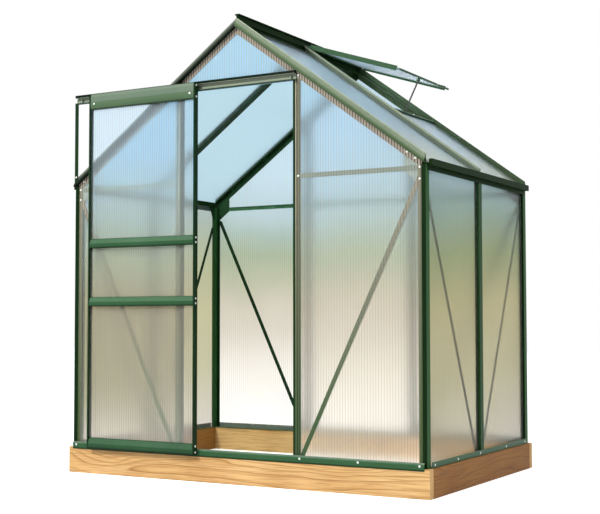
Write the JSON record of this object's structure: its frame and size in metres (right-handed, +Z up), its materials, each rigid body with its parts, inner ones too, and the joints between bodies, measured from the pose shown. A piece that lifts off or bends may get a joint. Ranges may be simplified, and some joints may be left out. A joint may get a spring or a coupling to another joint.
{
  "type": "greenhouse",
  "caption": "Small gabled greenhouse on a timber plinth, with a sliding door on an overhead track, an opening roof vent on a stay, and eaves gutters.",
  "frame": {"origin": "on the ground, under the centre of the whole outline with the door and the vent open", "axes": "+X to the right seen from the door, +Y towards the back wall, +Z up"},
  "size_m": [1.95, 1.318, 2.166],
  "materials": {
    "frame_coat": "dark green satin powder coat on extruded bars",
    "fastener": "plain bright bolt heads and brackets",
    "stay_metal": "plain flat bar",
    "roller_plastic": "moulded roller",
    "timber": "planed softwood, golden brown preservative stain",
    "wall_sheet": "clear twin-wall sheet with fine upright ribs",
    "door_sheet": "clear twin-wall sheet with fine upright ribs",
    "roof_sheet": "clear twin-wall sheet with fine ribs down the slope"
  },
  "bodies": {
    "frame": {"back_braces": "frame_coat", "back_panels": "wall_sheet", "back_sill": "frame_coat", "back_studs": "frame_coat", "corner_post_back_left": "frame_coat", "corner_post_back_right": "frame_coat", "corner_post_front_left": "frame_coat", "corner_post_front_right": "frame_coat", "door_jamb_left": "frame_coat", "door_jamb_right": "frame_coat", "door_track": "frame_coat", "frame_bolts": "fastener", "front_braces": "frame_coat", "front_left_panel": "wall_sheet", "front_right_panel": "wall_sheet", "front_sill": "frame_coat", "front_top_panel": "wall_sheet", "gable_rafter_back_left": "frame_coat", "gable_rafter_back_right": "frame_coat", "gable_rafter_front_left": "frame_coat", "gable_rafter_front_right": "frame_coat", "gable_ties": "frame_coat", "gusset_plates": "frame_coat", "gutter_end_caps": "frame_coat", "gutter_left": "frame_coat", "gutter_right": "frame_coat", "left_braces": "frame_coat", "left_roof_panels": "roof_sheet", "left_sill": "frame_coat", "left_wall_panels": "wall_sheet", "plinth_back_board": "timber", "plinth_front_board": "timber", "plinth_left_board": "timber", "plinth_right_board": "timber", "ridge_bar": "frame_coat", "right_braces": "frame_coat", "right_roof_panels": "roof_sheet", "right_sill": "frame_coat", "right_wall_panels": "wall_sheet", "roof_bar_left": "frame_coat", "roof_bar_right": "frame_coat", "side_stud_left": "frame_coat", "side_stud_right": "frame_coat", "track_hanger": "frame_coat", "vent_peg": "fastener", "vent_sill": "frame_coat"},
    "door": {"door_bolts": "fastener", "door_bottom_rail": "frame_coat", "door_hangers": "fastener", "door_mid_rails": "frame_coat", "door_panels": "door_sheet", "door_stiles": "frame_coat", "door_top_rail": "frame_coat"},
    "roller_left": {"door_roller_left": "roller_plastic"},
    "roller_right": {"door_roller_right": "roller_plastic"},
    "vent": {"vent_top_rail": "frame_coat", "vent_side_rails": "frame_coat", "vent_bottom_rail": "frame_coat", "vent_panel": "roof_sheet"},
    "stay": {"vent_stay": "stay_metal"}
  },
  "joints": [
    {"name": "door_slide", "type": "slide", "parent": "frame", "child": "door", "axis": [1, 0, 0], "range_m": [-0.0895, 0.5155]},
    {"name": "door_roller_left_spin", "type": "hinge", "parent": "door", "child": "roller_left", "pos_m": [-0.801, -0.621, 1.83468], "axis": [0, 1, 0], "continuous": true},
    {"name": "door_roller_right_spin", "type": "hinge", "parent": "door", "child": "roller_right", "pos_m": [-0.23, -0.621, 1.83468], "axis": [0, 1, 0], "continuous": true},
    {"name": "vent_hinge", "type": "hinge", "parent": "frame", "child": "vent", "pos_m": [0.01, 0.327, 2.135], "axis": [0, -1, 0], "range_deg": [-18, 0]},
    {"name": "stay_pivot", "type": "hinge", "parent": "vent", "child": "stay", "pos_m": [0.51155, 0.297, 1.9572], "axis": [0, -1, 0], "range_deg": [-73, 0.5]}
  ],
  "couplings": [
    {"joint": "door_roller_left_spin", "follows": "door_slide", "rad_per_m": 90.909},
    {"joint": "door_roller_right_spin", "follows": "door_slide", "rad_per_m": 90.909},
    {"joint": "stay_pivot", "follows": "vent_hinge", "ratio": 4}
  ]
}
